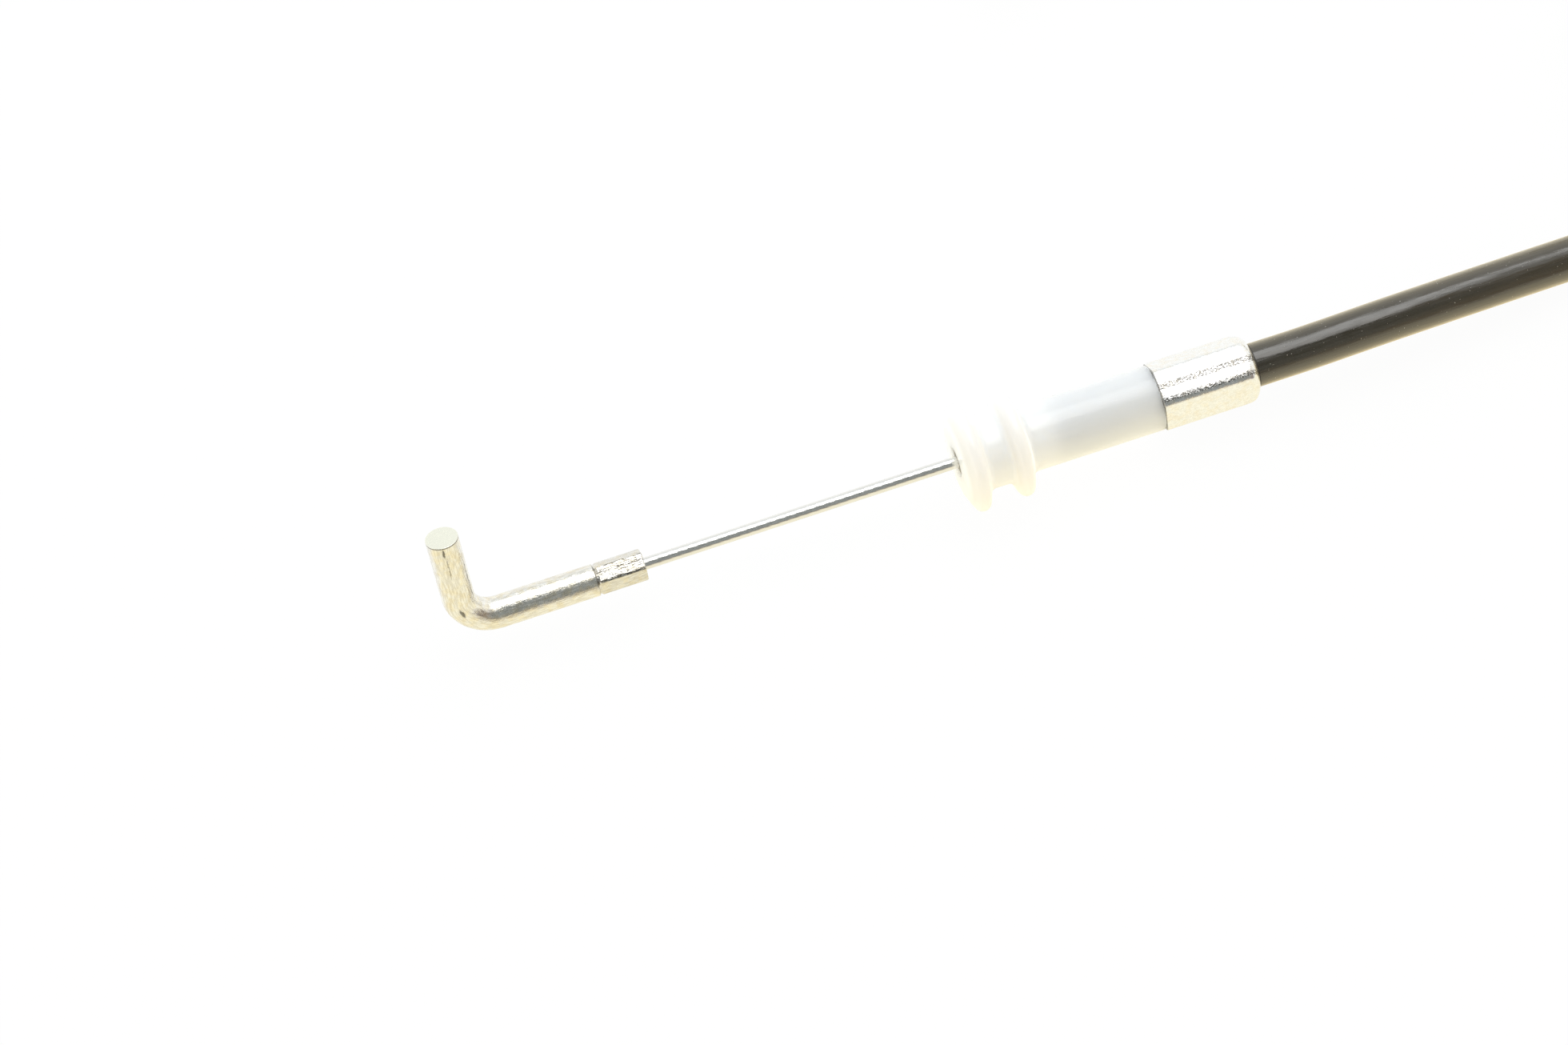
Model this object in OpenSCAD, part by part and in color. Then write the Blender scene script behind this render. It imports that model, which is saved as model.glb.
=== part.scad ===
// Bowden control cable: a steel inner wire that slides in a flexible conduit and pulls a latch.
// One end has an L-shaped hook pin, the other a barrel nipple. A grooved plastic guide, held by a
// crimped ferrule, anchors each end of the conduit in a slotted bracket.
// +X runs along the wire from the hook towards the conduit, +Z is up, and the origin is on the
// wire's axis at the centre of the first guide's groove. Lengths are in millimetres.

/* [Hook end] */
// Diameter of the round rod that the hook is bent from
hook_d = 4; // [3:0.1:5]
// Length of the leg, from the shank's axis to the end face
leg_l = 13.6; // [9:0.1:24]
// Radius at the inside of the bend
bend_inner_r = 2.3; // [0.5:0.1:3]
// Angle of the leg about the wire's axis, from +Y towards +Z, at rest
leg_tilt = 60; // [0:5:180]
// Length of the shank, from the leg's axis to the crimp
shank_l = 16.5; // [10:0.1:30]
// Length of the hexagonal crimp on the wire
hook_crimp_l = 6.1; // [4:0.1:12]
// Width across flats of the crimp
hook_crimp_af = 3.55; // [2.8:0.05:4.2]
// Angle of one corner of the crimp from the leg
hook_crimp_turn = 4; // [0:1:60]

/* [Inner wire] */
// Diameter of the inner wire
wire_d = 1.5; // [1:0.1:2]
// Bare wire between the hook's crimp and the guide's front face
hook_bare_l = 40; // [30:1:80]
// Bare wire between the far guide's front face and the nipple
nipple_bare_l = 30; // [22:1:80]
// Travel of the wire each way from its rest place
travel = 15; // [5:1:17]

/* [Guide] */
// Diameter of the two flanges
flange_d = 13.5; // [12:0.1:18]
// Width of the front flange where it meets the groove
front_flange_w = 3.1; // [2.4:0.1:5]
// Width of the rear flange where it meets the groove
rear_flange_w = 2.8; // [2.4:0.1:5]
// Radius of the rounded rim of a flange
flange_tip_r = 0.9; // [0.5:0.05:1.1]
// Diameter at the groove's floor
groove_d = 9; // [8.4:0.1:10]
// Width of the groove, for a bracket plate
groove_w = 2.8; // [1.5:0.1:5]
// Diameter of the barrel behind the flanges
barrel_d = 8.2; // [7.6:0.1:10]
// Length of the barrel between the rear flange and the ferrule
barrel_l = 17.1; // [12:0.1:30]
// Depth from the front face to the shoulder that the conduit seats on
seat_depth = 12.5; // [8:0.1:18]

/* [Ferrule] */
// Length of the ferrule
ferrule_l = 12.8; // [9:0.1:20]
// Width across the ferrule's flats
ferrule_af = 7.88; // [7.6:0.02:9]
// Wall of the ferrule
ferrule_wall = 0.5; // [0.3:0.05:0.6]
// Radius of the shoulder at the ferrule's rear
shoulder_r = 2.7; // [0.8:0.1:3]
// Angle of one hexagon corner about the axis, from +Y towards +Z
ferrule_turn = 7; // [0:1:60]

/* [Conduit] */
// Outer diameter of the sheath
sheath_d = 5.5; // [5:0.1:5.8]
// Outer diameter of the steel armour inside the sheath
armour_d = 4.4; // [4.1:0.05:4.8]
// Outer diameter of the plastic liner inside the armour
liner_d = 3.6; // [2.8:0.05:3.8]
// Depth of the liner's end behind the guide's front face
liner_recess = 0.3; // [0:0.1:2]

/* [Coil] */
// Radius of the coil's widest turn, at the middle of the sheath
coil_r = 31.5; // [28:0.5:60]
// Free space between turns that lie side by side
turn_gap = 0.5; // [0.5:0.05:2]
// Free space between the two layers of turns
layer_gap = 0.45; // [0.45:0.05:2]
// Width of the strap of a coil tie
strap_w = 2.5; // [2:0.1:4.8]
// Thickness of that strap
strap_t = 0.9; // [0.6:0.1:1.4]
// Side of a coil tie's square head
tie_head = 4.4; // [3.6:0.1:7]
// Thickness of that head, outwards from the turns
tie_head_t = 3; // [2.4:0.1:5]
// Length of the cut strap end that stands out of the head
tie_stub_l = 1.5; // [0.5:0.1:5]

/* [Nipple] */
// Diameter of the barrel nipple
nipple_d = 6; // [4.5:0.1:9]
// Length of the barrel nipple
nipple_l = 7; // [5:0.1:12]

/* [Clearances] */
// Radial clearance of the wire in the liner's bore
run_clear = 0.1; // [0.05:0.01:0.1]
// Radial clearance between pieces that are fixed in each other
seat_clear = 0.05; // [0.02:0.01:0.1]
// Clearance between a coil tie's strap and the turns inside it
tie_clear = 0.3; // [0.3:0.05:0.6]

/* [Hidden] */
$fn = 64;

// How far a cut runs past the face that it opens, and how deep a piece is rooted in the one it grows from
past = 1;
root = 1;

zinc = [0.80, 0.79, 0.75];
steel = [0.72, 0.71, 0.68];
white = [0.92, 0.93, 0.92];
black = [0.08, 0.07, 0.065];
liner_grey = [0.28, 0.27, 0.25];
cast_grey = [0.62, 0.62, 0.61];
nylon = [0.88, 0.87, 0.82];

// Guide and conduit end, along X from the groove's centre
front_x = -groove_w / 2 - front_flange_w;
rear_flange_x = groove_w / 2 + rear_flange_w;
ferrule_x = rear_flange_x + barrel_l;
exit_x = ferrule_x + ferrule_l;
seat_x = front_x + seat_depth;
seat_bore_d = sheath_d + 2 * seat_clear;
liner_hole_d = liner_d + 2 * seat_clear;
liner_bore_d = wire_d + 2 * run_clear;
armour_bore_d = liner_d + 2 * seat_clear;
jacket_bore_d = armour_d + 2 * seat_clear;
cavity_af = ferrule_af - 2 * ferrule_wall;
tail_af = cavity_af - 2 * seat_clear;
corner_room = 0.2;  // from the hexagon's corners out to the round that its end is turned from

// Hook, along X
crimp_x = front_x - hook_bare_l - hook_crimp_l;
leg_x = crimp_x - shank_l;
bend_r = bend_inner_r + hook_d / 2;

// The wire is split behind the guide's front face, where it stays covered over the whole travel
cover_l = 2;
split_gap = 0.1;
split_x = front_x + travel + cover_l;
core_end_x = exit_x - travel - split_gap;

// Surface that the part lies on, and the height of a sheath's middle that lies on it
floor_z = -flange_d / 2;
lie_z = floor_z + sheath_d / 2;

// Route of the sheath from the first ferrule: way along X, way along Y and share of the fall
run_route = [[0, 0, 0], [6, 0, 0], [18, 0.3, 0.05], [30, 0.8, 0.3], [42, 1.4, 0.65],
             [54, 1.8, 0.9], [66, 2, 1], [79, 2, 1], [85, 2, 1]];
run_points = [for (p = run_route) [exit_x + p.x, p.y, p.z * lie_z]];
run_end = run_points[len(run_points) - 1];

// The coil: out of a straight lead, two and a half turns, in and out again, into a straight lead
// It rises over the straps of its two ties, which lie across it at 0 and 180 degrees
loop_rings = 24;
coil_turns = 2.5;
climb_from = 1;
climb_turns = 0.5;
lead_l = sheath_d;
turn_pitch = sheath_d + turn_gap;
layer_step = sheath_d + layer_gap;
tie_lift = tie_clear + strap_t;
coil_x = run_end.x + lead_l;
coil_y = run_end.y + coil_r;

function turn_angle(t) = 360 * t - 90;
function turn_r(t) = coil_r - turn_pitch * min(t, coil_turns - t);
function climb(t) = let (u = max(0, min(1, (t - climb_from) / climb_turns))) u * u * (3 - 2 * u);
function turn_z(t) = lie_z + layer_step * climb(t) + tie_lift * pow(cos(turn_angle(t)), 2);
function coil_point(t) =
    [coil_x + turn_r(t) * cos(turn_angle(t)), coil_y + turn_r(t) * sin(turn_angle(t)), turn_z(t)];

coil_rings = loop_rings * coil_turns;
turns = [for (i = [0 : coil_rings]) coil_point(i / loop_rings)];
coil_end = turns[coil_rings] - [lead_l, 0, 0];
coil_points = concat([run_end], turns, [coil_end]);

// Route of the sheath from the coil to the far ferrule, as for the run
tail_route = [[0, 0, 0], [3, 0, 0], [11, 0, 0.5], [19, 0, 1], [22, 0, 1]];
tail_points = [for (p = tail_route) [coil_end.x - p.x, coil_end.y + p.y, coil_end.z * (1 - p.z)]];
tail_end = tail_points[len(tail_points) - 1];

// The far guide's groove centre
far_at = [tail_end.x - exit_x, tail_end.y, 0];
nipple_x = front_x - nipple_bare_l - nipple_d / 2;

// Least free space between two stretches of the coil, measured from each ring to each later stretch
function to_stretch(p, a, b) =
    let (u = max(0, min(1, (p - a) * (b - a) / ((b - a) * (b - a))))) norm(p - a - u * (b - a));
apart = loop_rings / 2;
last_ring = len(coil_points) - 1;
coil_gap = min([for (i = [0 : last_ring - apart], j = [i + apart : last_ring - 1])
    to_stretch(coil_points[i], coil_points[j], coil_points[j + 1])]) - sheath_d;
echo(least_coil_gap = coil_gap);

// Sides of a swept tube's section, where it runs freely and in the coil
run_sides = 12;
loop_sides = 6;

// Direction of a route at its point i
function unit(v) = v / norm(v);
function heading(route, i) =
    i == 0 ? unit(route[1] - route[0])
    : i == len(route) - 1 ? unit(route[i] - route[i - 1])
    : unit(unit(route[i + 1] - route[i]) + unit(route[i] - route[i - 1]));

// Corners of a ring round p, square to direction d, with a corner straight down
function ring(p, d, r, sides) =
    let (side = unit(cross([0, 0, 1], d)), up = cross(d, side))
    [for (k = [0 : sides - 1]) p + r * (sin(360 * k / sides) * side - cos(360 * k / sides) * up)];

// A closed tube of round section swept along a route
module tube_along(route, d, sides) {
    last = (len(route) - 1) * sides;
    corners = [for (i = [0 : len(route) - 1]) each ring(route[i], heading(route, i), d / 2, sides)];
    walls = [for (a = [0 : sides : last - sides], k = [0 : sides - 1])
        let (p = a + k, q = a + (k + 1) % sides)
        each [[p, p + sides, q + sides], [p, q + sides, q]]];
    start_cap = [for (k = [1 : sides - 2]) [0, k, k + 1]];
    end_cap = [for (k = [1 : sides - 2]) [last, last + k + 1, last + k]];
    polyhedron(points = corners, faces = concat(start_cap, walls, end_cap));
}

// A rod along X, and the same with a hexagonal section and one corner at a given angle
module rod_x(x0, x1, d) {
    translate([x0, 0, 0]) rotate([0, 90, 0]) cylinder(h = x1 - x0, d = d);
}
module hex_x(x0, x1, af, corner_at) {
    translate([x0, 0, 0]) rotate([corner_at + 90, 0, 0]) rotate([0, 90, 0])
        cylinder(h = x1 - x0, d = af / cos(30), $fn = 6);
}
module tube_x(x0, x1, outer_d, bore_d) {
    difference() {
        rod_x(x0, x1, outer_d);
        rod_x(x0 - past, x1 + past, bore_d);
    }
}

module at_far_end() {
    translate(far_at) children();
}

// Hook: a bent rod whose shank is drilled and crimped round the wire
module hook_end() {
    color(zinc) rotate([leg_tilt, 0, 0]) difference() {
        union() {
            translate([leg_x, bend_r, 0]) rotate([-90, 0, 0])
                cylinder(h = leg_l - bend_r, d = hook_d);
            translate([leg_x + bend_r, bend_r, 0]) rotate([0, 0, 180])
                rotate_extrude(angle = 90) translate([bend_r, 0]) circle(d = hook_d);
            rod_x(leg_x + bend_r, crimp_x, hook_d);
            hex_x(crimp_x, crimp_x + hook_crimp_l, hook_crimp_af, hook_crimp_turn);
        }
        rod_x(crimp_x, crimp_x + hook_crimp_l + past, wire_d + 2 * seat_clear);
    }
}

// Inner wire: the stretch that turns with an end fitting, and the stretch behind it that only slides
module fitting_wire(x0) {
    color(steel) rod_x(x0, split_x, wire_d);
}
module core_wire() {
    color(steel) rod_x(split_x + split_gap, core_end_x, wire_d);
}

// Half section of a flange, radius along x: straight flanks from the groove's floor to a round rim
module flange_half(w) {
    foot_r = groove_d / 2;
    rim_r = flange_d / 2 - flange_tip_r;
    reach = norm([rim_r - foot_r, w / 2]);
    flank_l = sqrt(reach * reach - flange_tip_r * flange_tip_r);
    flank_at = asin(flange_tip_r / reach) - atan2(w / 2, rim_r - foot_r);
    touch = [foot_r + flank_l * cos(flank_at), w / 2 + flank_l * sin(flank_at)];
    polygon([[foot_r - root, -w / 2], [foot_r, -w / 2], [touch.x, -touch.y], [rim_r, 0],
             touch, [foot_r, w / 2], [foot_r - root, w / 2]]);
    translate([rim_r, 0]) circle(r = flange_tip_r);
}

// Guide: two flanges, a barrel and a hexagonal tail inside the ferrule, bored for liner and sheath
module guide() {
    color(white) difference() {
        union() {
            rotate([0, 90, 0]) rotate_extrude() {
                translate([0, front_x + front_flange_w / 2]) flange_half(front_flange_w);
                translate([0, rear_flange_x - rear_flange_w / 2]) flange_half(rear_flange_w);
                translate([0, front_x]) square([groove_d / 2, rear_flange_x - front_x]);
                square([barrel_d / 2, ferrule_x]);
            }
            hex_x(ferrule_x - root, exit_x - shoulder_r, tail_af, ferrule_turn);
        }
        rod_x(front_x - past, seat_x + past, liner_hole_d);
        rod_x(seat_x, exit_x, seat_bore_d);
    }
}

// A hexagonal bar along X with a rounded far end
module cup_x(x0, x1, af, end_r) {
    round_r = af / 2 / cos(30) + corner_room;
    intersection() {
        hex_x(x0, x1, af, ferrule_turn);
        translate([x0, 0, 0]) rotate([0, 90, 0]) rotate_extrude() {
            square([round_r, x1 - x0 - end_r]);
            square([round_r - end_r, x1 - x0]);
            translate([round_r - end_r, x1 - x0 - end_r]) intersection() {
                circle(r = end_r);
                square(end_r);
            }
        }
    }
}

// Ferrule: a drawn cup, crimped to a hexagon over the guide's tail, with the sheath through its end
module ferrule() {
    color(zinc) difference() {
        cup_x(ferrule_x, exit_x, ferrule_af, shoulder_r);
        cup_x(ferrule_x - past, exit_x - ferrule_wall, cavity_af, shoulder_r - ferrule_wall);
        rod_x(exit_x - ferrule_wall - past, exit_x + past, seat_bore_d);
    }
}

// The conduit's end: liner, armour and sheath, one in the other
module liner() {
    color(liner_grey) tube_x(front_x + liner_recess, exit_x, liner_d, liner_bore_d);
}
module armour() {
    color(steel) tube_x(seat_x, exit_x, armour_d, armour_bore_d);
}
module jacket() {
    color(black) tube_x(seat_x, exit_x, sheath_d, jacket_bore_d);
}

// The free sheath: from the first ferrule to the coil, the coil, and from there to the far ferrule
module sheath_run() {
    color(black) tube_along(run_points, sheath_d, run_sides);
}
module sheath_coil() {
    color(black) tube_along(coil_points, sheath_d, loop_sides);
}
module sheath_tail() {
    color(black) tube_along(tail_points, sheath_d, run_sides);
}

// Cable tie: a strap pulled round the turns that pass one angle of the coil, with its square head
module coil_tie(angle) {
    passes = [for (t = [(angle + 90) / 360 : 1 : coil_turns]) [turn_r(t), turn_z(t)]];
    out_x = passes[0].x + sheath_d / 2 + tie_clear;
    middle_z = (passes[0].y + passes[len(passes) - 1].y) / 2;
    color(nylon) translate([coil_x, coil_y, 0]) rotate([0, 0, angle]) {
        rotate([90, 0, 0]) linear_extrude(strap_w, center = true) difference() {
            hull() for (p = passes) translate(p) circle(d = sheath_d + 2 * (tie_clear + strap_t));
            hull() for (p = passes) translate(p) circle(d = sheath_d + 2 * tie_clear);
        }
        translate([out_x, -tie_head / 2, middle_z - tie_head / 2])
            cube([tie_head_t, tie_head, tie_head]);
        translate([out_x + (tie_head_t - strap_t) / 2, -strap_w / 2, middle_z])
            cube([strap_t, strap_w, tie_head / 2 + tie_stub_l]);
    }
}

// Nipple: a cast barrel across the wire's end
module end_nipple() {
    color(cast_grey) difference() {
        translate([nipple_x, 0, 0]) cylinder(h = nipple_l, d = nipple_d, center = true);
        rod_x(nipple_x, nipple_x + nipple_d, wire_d + 2 * seat_clear);
    }
}

hook_end();
fitting_wire(crimp_x);  // hook_wire
core_wire();  // near_core_wire
guide();  // near_guide
ferrule();  // near_ferrule
liner();  // near_liner
armour();  // near_armour
jacket();  // near_jacket
sheath_run();
sheath_coil();
coil_tie(0);  // coil_tie_a
coil_tie(180);  // coil_tie_b
sheath_tail();
at_far_end() guide();  // far_guide
at_far_end() ferrule();  // far_ferrule
at_far_end() liner();  // far_liner
at_far_end() armour();  // far_armour
at_far_end() jacket();  // far_jacket
at_far_end() core_wire();  // far_core_wire
at_far_end() fitting_wire(nipple_x);  // nipple_wire
at_far_end() end_nipple();
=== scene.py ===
"""Looks of a control cable: a hook at one end of its wire, a nipple at the other, in a sheathed
conduit.

Lengths are in metres. +X runs along the wire from the hook to the conduit, and the origin is in
the first guide."""
from math import cos, pi, radians, sin

import bpy
import numpy as np
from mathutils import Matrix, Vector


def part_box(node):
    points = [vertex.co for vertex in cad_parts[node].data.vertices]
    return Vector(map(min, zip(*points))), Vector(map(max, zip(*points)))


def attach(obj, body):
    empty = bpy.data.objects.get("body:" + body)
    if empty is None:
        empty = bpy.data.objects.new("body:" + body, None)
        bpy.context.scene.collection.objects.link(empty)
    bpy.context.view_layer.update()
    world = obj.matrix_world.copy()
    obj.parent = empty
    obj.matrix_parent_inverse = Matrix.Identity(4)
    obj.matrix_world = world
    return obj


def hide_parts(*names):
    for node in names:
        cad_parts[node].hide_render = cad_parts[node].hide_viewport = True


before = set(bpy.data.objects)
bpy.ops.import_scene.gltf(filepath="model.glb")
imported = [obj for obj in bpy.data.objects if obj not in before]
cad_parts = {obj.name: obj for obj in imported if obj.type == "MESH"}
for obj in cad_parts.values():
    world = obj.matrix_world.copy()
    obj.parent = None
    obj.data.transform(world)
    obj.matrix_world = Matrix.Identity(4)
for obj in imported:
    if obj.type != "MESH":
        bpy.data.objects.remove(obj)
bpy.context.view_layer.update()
scene = bpy.context.scene

# --- Camera ---------------------------------------------------------------------------------------
# A long lens looks steeply down on the hook end from the hook's side of the wire. The wire crosses
# the picture, and the end face of the hook's leg shows.
azimuth, elevation = radians(-19.2), radians(69.5)
looked_at = np.array([-0.0268, -0.0005, 0.0])
camera_distance = 0.580
lens_mm = 110.2
nearest_shown = 0.01

towards_camera = np.array(
    [sin(azimuth) * cos(elevation), -cos(azimuth) * cos(elevation), sin(elevation)])
camera = bpy.data.objects.new("camera", bpy.data.cameras.new("camera"))
camera.location = looked_at + camera_distance * towards_camera
camera.rotation_euler = (pi / 2 - elevation, 0, azimuth)
camera.data.lens = lens_mm
camera.data.clip_start = nearest_shown
scene.collection.objects.link(camera)
scene.camera = camera

# --- Sheath ---------------------------------------------------------------------------------------
# The conduit's outer jacket is black plastic, extruded over the armour. It leaves the first ferrule
# straight, comes down to the surface, lies there in a coil of two layers, and runs on to the far
# ferrule.
sheath_r = 0.00275
exit_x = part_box("near_jacket")[1].x
surface_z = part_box("near_guide")[0].z
lying_z = surface_z + sheath_r
sheath_around, sheath_step = 40, 0.0009

# Way along X, way along Y and share of the fall, from the first ferrule on
run_route = np.array([
    (0, 0, 0), (0.006, 0, 0), (0.018, 0.0003, 0.05), (0.030, 0.0008, 0.3), (0.042, 0.0014, 0.65),
    (0.054, 0.0018, 0.9), (0.066, 0.002, 1), (0.079, 0.002, 1), (0.085, 0.002, 1)])
run_line = [exit_x, 0, 0] + run_route * [1, 1, lying_z]

# The coil spirals in and out again. It climbs a layer in the half turn where it turns back, and
# rises over its ties. A short straight lead joins it to the run at one end and the tail at the
# other.
coil_r = 0.0315
coil_turns, coil_stations = 2.5, 121
turn_pitch = 0.006
layer_step = 0.00595
climb_from, climb_turns = 1, 0.5
tie_lift = 0.0012
lead_l = 2 * sheath_r
coil_middle = run_line[-1][:2] + [lead_l, coil_r]


def coil_pass(turn):
    """Angle, radius and height of the coil after some turns. The radius shrinks by a pitch a turn
    up to the middle and grows again. The height climbs a layer on a smooth step, plus a lift with
    the squared cosine."""
    angle = 2 * pi * turn - pi / 2
    radius = coil_r - turn_pitch * np.minimum(turn, coil_turns - turn)
    share = np.clip((turn - climb_from) / climb_turns, 0, 1)
    height = lying_z + layer_step * share**2 * (3 - 2 * share) + tie_lift * np.cos(angle) ** 2
    return angle, radius, height


turn_angle, turn_r, turn_z = coil_pass(np.linspace(0, coil_turns, coil_stations))
coil_line = np.stack([coil_middle[0] + turn_r * np.cos(turn_angle),
                      coil_middle[1] + turn_r * np.sin(turn_angle), turn_z], 1)

# Way back along X and share of the fall to the far ferrule's axis, from the coil's end on
tail_back, tail_fall = np.array([(0, 0), (0.003, 0), (0.011, 0.5), (0.019, 1), (0.022, 1)]).T
tail_start = coil_line[-1] - [lead_l, 0, 0]
tail_line = tail_start - np.stack([tail_back, 0 * tail_back, tail_fall * tail_start[2]], 1)


def unit(v):
    """Each vector divided by its length."""
    return v / np.linalg.norm(v, axis=-1, keepdims=True)


def way_run(points):
    """Way from the first point to each: the lengths of the steps between them, added up."""
    return np.concatenate([[0], np.cumsum(np.linalg.norm(np.diff(points, axis=0), axis=1))])


def smooth_line(points, step):
    """Points about a step apart on a smooth line through the given ones. Between two of them it is
    the cubic that has, at each, the slope of the points on both sides (Catmull-Rom)."""
    knots = way_run(points)
    slopes = np.gradient(points, knots, axis=0)
    at = np.linspace(0, knots[-1], int(knots[-1] / step) + 1)
    i = np.clip(np.searchsorted(knots, at, side="right") - 1, 0, len(points) - 2)
    span = (knots[i + 1] - knots[i])[:, None]
    u = (at[:, None] - knots[i][:, None]) / span
    return ((2 * u**3 - 3 * u**2 + 1) * points[i] + (u**3 - 2 * u**2 + u) * span * slopes[i]
            + (3 * u**2 - 2 * u**3) * points[i + 1] + (u**3 - u**2) * span * slopes[i + 1])


def tube_rings(line, radius, around):
    """Rings of a round tube along a level line, and the same rings of the tube laid straight along
    X. A ring is middle + radius * (cosine * side + sine * up), and side is square to the line and
    level."""
    along = unit(np.gradient(line, axis=0))
    side = unit(np.cross([0, 0, 1], along))
    up = np.cross(along, side)
    turned = np.linspace(0, 2 * pi, around, endpoint=False)
    c, s = radius * np.cos(turned), radius * np.sin(turned)
    rings = line[:, None] + c[None, :, None] * side[:, None] + s[None, :, None] * up[:, None]
    straight = np.stack(np.broadcast_arrays(way_run(line)[:, None], c[None], s[None]), -1)
    return rings, straight


# Edges where two faces turn by more than this look sharp
edge_angle = radians(40)


def skin(name, rings, straight=None, loop=False):
    """A closed mesh over an array of rings, whose points turn from +Y to +Z about the way that the
    rings follow. Two neighbours of a ring and the same two of the next ring make a face. A fan of
    triangles round its middle closes each end, or the last ring joins the first in a loop. The
    straight rings go in as an attribute."""
    count, around = rings.shape[:2]
    ring, point = np.meshgrid(np.arange(count - (not loop)), np.arange(around), indexing="ij")
    onward, after = (point + 1) % around, (ring + 1) % count
    faces = np.stack([ring * around + point, ring * around + onward, after * around + onward,
                      after * around + point], -1).reshape(-1, 4).tolist()
    straight = rings if straight is None else straight
    points, places = rings.reshape(-1, 3), straight.reshape(-1, 3)
    if not loop:
        first, total = np.arange(around), count * around
        last = first + total - around
        faces += np.stack([np.full(around, total), np.roll(first, -1), first], -1).tolist()
        faces += np.stack([np.full(around, total + 1), last, np.roll(last, -1)], -1).tolist()
        points = np.concatenate([points, rings[[0, -1]].mean(1)])
        places = np.concatenate([places, straight[[0, -1]].mean(1)])
    mesh = bpy.data.meshes.new(name)
    mesh.from_pydata(points.tolist(), [], faces)
    attribute = mesh.attributes.new("straight", "FLOAT_VECTOR", "POINT")
    attribute.data.foreach_set("vector", places.ravel())
    mesh.shade_smooth()
    mesh.set_sharp_from_angle(angle=edge_angle)
    piece = bpy.data.objects.new(name, mesh)
    scene.collection.objects.link(piece)
    return piece


class Nodes:
    """Short ways to add nodes to a shader tree."""

    def __init__(self, tree):
        self.tree = tree

    def fill(self, node, inputs):
        """Links an input that is given a socket, and sets one that is given a value."""
        for key, value in inputs.items():
            if isinstance(value, bpy.types.NodeSocket):
                self.tree.links.new(value, node.inputs[key])
            else:
                node.inputs[key].default_value = value

    def node(self, kind, output, inputs, **settings):
        """A new node's output. Settings are its own choices, such as a math node's operation."""
        node = self.tree.nodes.new("ShaderNode" + kind)
        for key, value in settings.items():
            setattr(node, key, value)
        self.fill(node, inputs)
        return node.outputs[output]

    def straight(self, stretch=(1, 1, 1)):
        """Place on the piece laid straight along X, times a stretch each way."""
        place = self.node("Attribute", "Vector", {}, attribute_name="straight")
        return self.node("VectorMath", "Vector", {0: place, 1: stretch}, operation="MULTIPLY")

    def along(self, axis, place):
        """How far a place lies along X, Y or Z."""
        return self.node("SeparateXYZ", axis, {0: place})

    def noise(self, place, size, detail=2, roughness=0.5):
        """Noise from 0 to 1 whose spots are about that size in metres."""
        return self.node("TexNoise", "Fac", {
            "Vector": place, "Scale": 1 / size, "Detail": detail, "Roughness": roughness})

    def ramp(self, value, low, high, to_low=0.0, to_high=1.0):
        """A value carried smoothly from between low and high to between two others, and held
        outside."""
        return self.node("MapRange", "Result", {
            "Value": value, "From Min": low, "From Max": high, "To Min": to_low,
            "To Max": to_high}, interpolation_type="SMOOTHSTEP")

    def mix(self, share, a, b):
        """Colour a where the share is 0 and b where it is 1."""
        node = self.tree.nodes.new("ShaderNodeMix")
        node.data_type = "RGBA"
        self.fill(node, {0: share, 6: a, 7: b})
        return node.outputs[2]

    def bump(self, height, depth, before=None):
        """A normal tilted by a height from 0 to 1 that stands for that depth in metres."""
        inputs = {"Height": height, "Distance": depth, "Strength": 1.0}
        if before is not None:
            inputs["Normal"] = before
        return self.node("Bump", "Normal", inputs)

    def times(self, a, b):
        """Two values multiplied."""
        return self.node("Math", 0, {0: a, 1: b}, operation="MULTIPLY")

    def more(self, a, b):
        """The larger of two values."""
        return self.node("Math", 0, {0: a, 1: b}, operation="MAXIMUM")

    def near(self, place, middle, half, edge=0.5):
        """1 at a place and 0 outside the ellipsoid round it that has those half sizes, with a soft
        edge."""
        away = self.node("VectorMath", "Vector", {0: place, 1: middle}, operation="SUBTRACT")
        per_half = tuple(1 / size for size in half)
        in_halves = self.node("VectorMath", "Vector", {0: away, 1: per_half}, operation="MULTIPLY")
        share = self.node("VectorMath", "Value", {0: in_halves}, operation="LENGTH")
        return self.ramp(share, 1 - edge, 1, 1.0, 0.0)

    def band(self, value, middle, half, edge=0.5):
        """1 where a value is at the middle and 0 a half width away from it, with a soft edge."""
        place = self.node("CombineXYZ", 0, {0: value})
        return self.near(place, (middle, 0, 0), (half, 1, 1), edge)


class Finish(Nodes):
    """A material whose Principled shader has the given values on its own sockets."""

    def __init__(self, name, **values):
        self.material = bpy.data.materials.new(name)
        self.material.use_nodes = True
        super().__init__(self.material.node_tree)
        self.shader = self.tree.nodes["Principled BSDF"]
        self.fill(self.shader, {key.replace("_", " "): value for key, value in values.items()})


def rgb(red, green, blue):
    """A colour with full cover."""
    return (red, green, blue, 1.0)


# The die draws fine lines along the jacket, dull patches cloud it, and specks of dust lie on it
die_line_w, die_line_h = 0.00026, 0.000019
patch_size = 0.0016
dust_size, dust_h = 0.00018, 0.000008

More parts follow.
